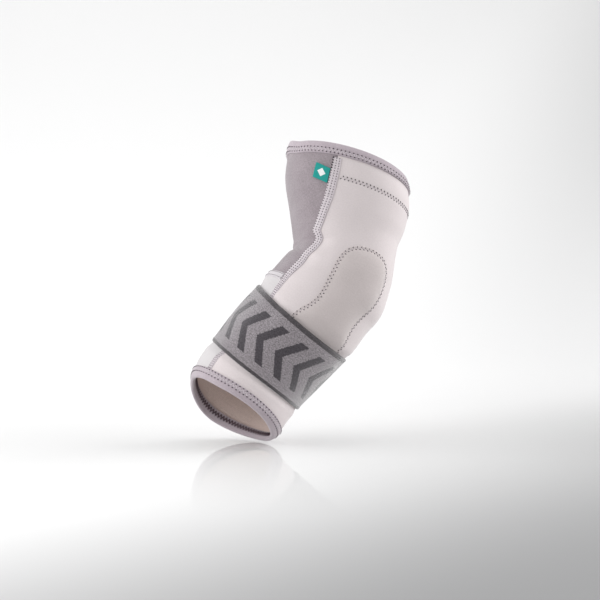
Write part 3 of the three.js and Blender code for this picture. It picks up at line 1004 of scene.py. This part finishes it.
def padHeight(station, angle, share):
    # The height, and how firmly each point is held by the stitches and the strap
    rim = flatPlace(*padRimLine(0))
    here = flatPlace(station, angle)
    distance = np.full(len(here), 1e9)
    for a, b in zip(rim[:-1:2], rim[2::2]):
        distance = np.minimum(distance, fromSegment(here, a, b)[1])
    aboveStrap = smoothDown(share, pad["strapFrom"], pad["strapTo"])
    rise = 1 - np.exp(-((distance / pad["rise"]) ** pad["riseShape"]))
    groove = pad["grooveDepth"] * bell((distance - pad["stitchInset"]) / pad["grooveWidth"])
    dome = (pad["crown"] - pad["rim"]) * pad["flat"] * rise * aboveStrap
    rimHeight = seat / 2 + pad["rim"] * (1 - np.exp(-distance / pad["rimWidth"])) + pad["lift"]
    held = smoothDown(distance, pad["stitchInset"], pad["stitchInset"] + pad["freeWithin"])
    return rimHeight - groove + dome, np.maximum(held, 1 - aboveStrap)


def addPad():
    obj, across, along = addGrid("elbow_pad_cloth", pad["rows"], pad["columns"])
    # Its rows and columns are closer at the rim
    share = along ** pad["rowPower"]
    station, angle = padPlace(share, np.sin((across * 2 - 1) * math.pi / 2))
    height, pinned = padHeight(station, angle, share)
    layGrid(obj, station, angle, height, fromSeam(station, angle), station)
    layDown(obj, station, angle, pad["under"])
    return obj, pinned


def fillPad(obj, pinned):
    # The soft filling blows up the pad's cloth, which is sewn down along its stitches and held under the strap
    sewn = obj.vertex_groups.new(name="sewn")
    for k in range(len(obj.data.vertices)):
        sewn.add([k], float(pinned[k]) if k < len(pinned) else 1.0, "REPLACE")
    flat = vertexPlaces(obj)
    takeOnly(obj)
    cloth = obj.modifiers.new("cloth", "CLOTH")
    cloth.settings.vertex_group_mass = "sewn"
    cloth.settings.use_pressure = True
    cloth.settings.uniform_pressure_force = pad["pressure"]
    cloth.settings.effector_weights.gravity = 0
    cloth.point_cache.frame_end = pad["frames"]
    for frameNumber in range(1, pad["frames"] + 1):
        bpy.context.scene.frame_set(frameNumber)
    bpy.ops.object.modifier_apply(modifier=cloth.name)
    bpy.context.scene.frame_set(1)
    moved = vertexPlaces(obj) - flat
    length = np.linalg.norm(moved, axis=1, keepdims=True)
    print("pad filling moves its cloth by", round(float(length.max()) / mm, 2), "mm")
    setPlaces(obj, flat + moved * np.minimum(1, pad["cap"] * mm / np.maximum(length, 1e-9)))
    obj.vertex_groups.clear()


elbowPad, padPinned = addPad()
fillPad(elbowPad, padPinned)
finishPiece(elbowPad, "elbow_pad", "pad_knit", padKnit)
print("stage: pad")

# Label: a folded woven tab sewn in at the seam
tab = {
    "width": 12, "length": 11.5, "fromTop": 20.5, "tilt": 18, "thickness": 0.9, "lift": 0.7, "liftAtTop": 0.35,
    "bulge": 0.25, "rounding": 0.25, "steps": 22, "mark": 0.0033, "weft": 0.00045, "warp": 0.0006,
    "teal": ((0.0, 0.19, 0.17), (0.0, 0.39, 0.35)), "pale": (0.8, 0.83, 0.83),
}
labelTop = topEnd + tab["fromTop"]


def addLabel():
    obj, across, along = addGrid("label_cloth", tab["steps"], tab["steps"])
    out = tab["width"] * across
    down = tab["length"] * along
    onSeam = labelTop + down
    edge = seamAngle(onSeam) + turnOf(onSeam, tapeHalfWidth(onSeam) + seat)
    tilt = math.radians(tab["tilt"])
    station = onSeam - out * math.sin(tilt)
    angle = edge + turnOf(onSeam, out * math.cos(tilt))
    top = tab["liftAtTop"]
    lift = tab["lift"] * across ** 2 * (top + (1 - top) * along)
    bulge = tab["bulge"] * np.sin(math.pi * along) * np.sin(math.pi * across)
    layGrid(obj, station, angle, seat + tab["thickness"] + lift + bulge, out, down)
    applyModifier(obj, "SOLIDIFY", thickness=tab["thickness"] * mm, offset=-1)
    rounding = tab["rounding"] * mm
    applyModifier(obj, "BEVEL", width=rounding, segments=2, limit_method="ANGLE", angle_limit=math.radians(40))
    return obj


def labelMaterial():
    # Teal weave with a plain pale lozenge
    material, shader = newMaterial("labelWeave", 0.55, 0.15, 0.5)
    uv, across, along = clothUv(material)
    fromMiddle = [
        math2("ABSOLUTE", minus(value, size * mm / 2))
        for value, size in ((across, tab["width"]), (along, tab["length"]))
    ]
    mark = math2("LESS_THAN", plus(*fromMiddle), tab["mark"])
    weft = math2("SINE", times(along, 2 * math.pi / tab["weft"]))
    warp = math2("SINE", times(across, 2 * math.pi / tab["warp"]))
    threads = times(weft, warp)
    teal = mix(plus(times(threads, 0.25), 0.5), *tab["teal"])
    paint(shader, mix(mark, teal, tab["pale"]), plus(threads, mark), 0.4, 0.0001)
    return material


label = finishPiece(addLabel(), "label", "label", labelMaterial())
print("stage: label")

# Stitches. Lengths are in metres here, and lift is the share of the thickness that a stitch stands out by.
tapeStitch, fineStitch, sideStitch, bindingDot = table(
    "pitch length thickness lift",
    (0.0021, 0.0003, 0.0009, 0.1), (0.0018, 0.0008, 0.0005, 0.2), (0.0019, 0.0006, 0.0013, 0.3),
    (0.0033, 0.0006, 0.001, 0.12),
)
panelZigzag, padZigzag, bindingZigzag, overlock = table(
    "pitch width thickness lift dotLength dotThickness",
    (0.0032, 0.0023, 0.00035, 0.1, 0.001, 0.0009), (0.0033, 0.0021, 0.0003, 0.1, 0.0009, 0.00085),
    (0.003, 0.0026, 0.0005, 0.25), (0.0026, 0.0042, 0.001, 0.2),
)
# The lines that they follow: points on each, and where they end, in millimetres or degrees
stitchLines = {
    "points": 400, "crossPoints": 120, "ringPoints": 700, "fromTop": 0.5, "aboveCross": 4, "belowCross": 2,
    "sideFromTop": 0.3, "aboveLabel": 1, "crossInset": 5, "hemReach": 96,
}


def tapeRow(name, side, share, start, end, look, material):
    line = np.linspace(start, end, stitchLines["points"])
    angle = side * (seamAngle(line) - share * turnOf(line, tapeHalfWidth(line)))
    trees = surfaceOf(outerTape if side > 0 else innerTape)
    return rowStitches(name, trees, line, angle, 0.5, look, material)


tapeThreads = []
rowTop = tapeTop + stitchLines["fromTop"]
rowBottom = tapeBottom - stitchLines["fromTop"]
crossTop = crossSeamAt - stitchLines["aboveCross"]
crossBottom = crossSeamAt - stitchLines["belowCross"]
for side in (1, -1):
    for share, material in zip(tape["seamRows"], (darkThread, greyThread, greyThread)):
        tapeThreads.append(tapeRow("tape_row", side, share, rowTop, crossTop, tapeStitch, material))
    for share in tape["fineRows"]:
        tapeThreads.append(tapeRow("fine_row", side, share, crossBottom, rowBottom, fineStitch, greyThread))
    start, end = tapeTop + stitchLines["sideFromTop"], labelTop - stitchLines["aboveLabel"]
    tapeThreads.append(tapeRow("side_row", side, tape["sideRow"], start, end, sideStitch, darkThread))
crossEdge = seamAngle(np.array([crossSeamAt]))[0] + stitchLines["crossInset"]
crossAngles = np.linspace(crossEdge, 360 - crossEdge, stitchLines["crossPoints"])
for share in tape["crossRowsAt"]:
    crossStations = np.full(len(crossAngles), crossSeamAt + share * tape["crossWidth"] / 2)
    tapeThreads.append(
        rowStitches("cross_row", surfaceOf(crossTapeCloth), crossStations, crossAngles, 0.9, fineStitch, greyThread)
    )
tapeStitches = finishStitches("tape_stitches", tapeThreads, "tape")

hemAngles = np.linspace(-stitchLines["hemReach"], stitchLines["hemReach"], stitchLines["points"])
hemStations = hemLineStation(hemAngles)
hemLine = zigzagStitches(
    "hem_line", surfaceOf(backPanel), hemStations, hemAngles, 0.0, panelZigzag, paleThread, darkThread
)
padStations, padAngles = padRimLine(pad["stitchInset"])
padLine = zigzagStitches(
    "pad_line", surfaceOf(elbowPad, backPanel), padStations, padAngles, 0.5, padZigzag, paleThread, darkThread
)
panelStitches = finishStitches("panel_stitches", [hemLine, padLine], "light_knit")


def bindingStitches(name, cloth, end, width):
    ring = np.linspace(0, 360, stitchLines["ringPoints"])
    trees = surfaceOf(cloth)

    def line(along):
        return np.full(len(ring), edgeStation(end) - end * along)

    lower, upper = rowsOf(end, width)
    middle = (lower + upper) / 2
    hemmed = edges["lining"] - binding["overlockInset"] - overlock["width"] / mm / 2
    rows = (line(lower), line(upper))
    parts = [rowStitches(name, trees, row, ring, bindingOutside, bindingDot, darkThread) for row in rows]
    parts += [
        zigzagStitches(name, trees, line(middle), ring, bindingOutside, bindingZigzag, paleThread),
        zigzagStitches(name, trees, line(hemmed), ring, bindingInside, overlock, overlockThread, inward=True),
    ]
    return finishStitches(name, parts, "binding")


topStitches = bindingStitches("top_binding_stitches", topBinding, -1, edges["topBindingWidth"])
wristStitches = bindingStitches("wrist_binding_stitches", wristBinding, 1, edges["wristBindingWidth"])
print("stage: stitches")

# Floor, backdrop and light, in metres and watts. The rows of four are from and to in place, then the values there.
studio = {
    "floorDrop": 0.0004, "size": 5.0, "wall": 2.2, "sweep": 2.15, "paintedShadeGrey": (0.34, 0.34, 0.344),
    "pale": (0.88, 0.88, 0.88), "paleBack": (-0.65, 0.05, 0.0, 1.0), "leftwards": 1.2,
    "paleLeft": (0.0, 0.5, 1.0, 0.55), "upwards": 0.9, "mirrorFront": (-0.34, -0.02, 0.0, 0.4),
    "mirrorBack": (0.0, 0.5, 1.0, 0.0), "mirrorRoughness": 0.03, "sky": 0.66,
}


def ramp(value, *limits):
    inputs = dict(zip(("Value", "From Min", "From Max", "To Min", "To Max"), (value, *limits)))
    return addNode(value.id_data, "ShaderNodeMapRange", inputs, interpolation_type="SMOOTHSTEP").outputs[0]


def floorMaterial():
    material, shader = newMaterial("studioFloor", 0.9, 0.0, 0.0)
    x, y, z = axesOf(objectPlace(material))
    # Painted shade: grey in front and on the right, where the light falls off, and pale behind and on the left
    back = minus(y, times(x, studio["leftwards"]))
    right = minus(x, times(z, studio["upwards"]))
    pale = times(ramp(back, *studio["paleBack"]), ramp(right, *studio["paleLeft"]))
    feed(shader.inputs["Base Color"], mix(pale, studio["paintedShadeGrey"], studio["pale"]))
    # It mirrors a little round the object
    mirror = addNode(material.node_tree, "ShaderNodeBsdfGlossy", {"Roughness": studio["mirrorRoughness"]})
    share = times(ramp(y, *studio["mirrorFront"]), ramp(y, *studio["mirrorBack"]))
    shaders = {0: share, 1: shader.outputs[0], 2: mirror.outputs[0]}
    cover = addNode(material.node_tree, "ShaderNodeMixShader", shaders)
    feed(material.node_tree.nodes["Material Output"].inputs["Surface"], cover.outputs[0])
    return material


def addStudio():
    # A plane whose rear edge goes up as a wall, with a wide sweep between them
    takeOnly()
    bpy.ops.mesh.primitive_plane_add(size=studio["size"], location=(0, 0, cadBox[0][2] - studio["floorDrop"]))
    floor = namePiece("studio_floor")
    bpy.ops.object.mode_set(mode="EDIT")
    bpy.ops.mesh.select_all(action="DESELECT")
    bpy.ops.object.mode_set(mode="OBJECT")
    for edge in floor.data.edges:
        edge.select = all(floor.data.vertices[v].co.y > 0 for v in edge.vertices)
    bpy.ops.object.mode_set(mode="EDIT")
    bpy.ops.mesh.extrude_region_move(TRANSFORM_OT_translate={"value": (0, 0, studio["wall"])})
    bpy.ops.object.mode_set(mode="OBJECT")
    applyModifier(floor, "BEVEL", width=studio["sweep"], segments=32, limit_method="ANGLE")
    bpy.ops.object.transform_apply(location=True, rotation=True, scale=True)
    bpy.ops.object.shade_smooth()
    layMaterials(floor, floorMaterial())


lamps = table(
    "name place size power aim",
    ("leftBox", (-1.2, -0.25, 0.55), 1.3, 15, view["target"]),
    ("rightBox", (1.15, 0.2, 0.45), 1.3, 17, view["target"]),
    ("wallBox", (-0.7, 1.0, 1.5), 1.4, 4.5, (-0.7, 2.1, 0.3)),
)


def addLamp(lamp):
    data = bpy.data.lights.new(lamp["name"], "AREA")
    data.size = lamp["size"]
    data.energy = lamp["power"]
    obj = bpy.data.objects.new(lamp["name"], data)
    bpy.context.collection.objects.link(obj)
    obj.location = lamp["place"]
    obj.visible_glossy = False
    obj.rotation_euler = (Vector(lamp["aim"]) - obj.location).to_track_quat("-Z", "Y").to_euler()


addStudio()
for lamp in lamps:
    addLamp(lamp)
world = bpy.data.worlds.new("world")
bpy.context.scene.world = world
world.use_nodes = True
sky = world.node_tree.nodes["Background"]
sky.inputs[0].default_value = (1, 1, 1, 1)
sky.inputs[1].default_value = studio["sky"]
bpy.context.scene.view_settings.view_transform = "Standard"
print("stage: studio")
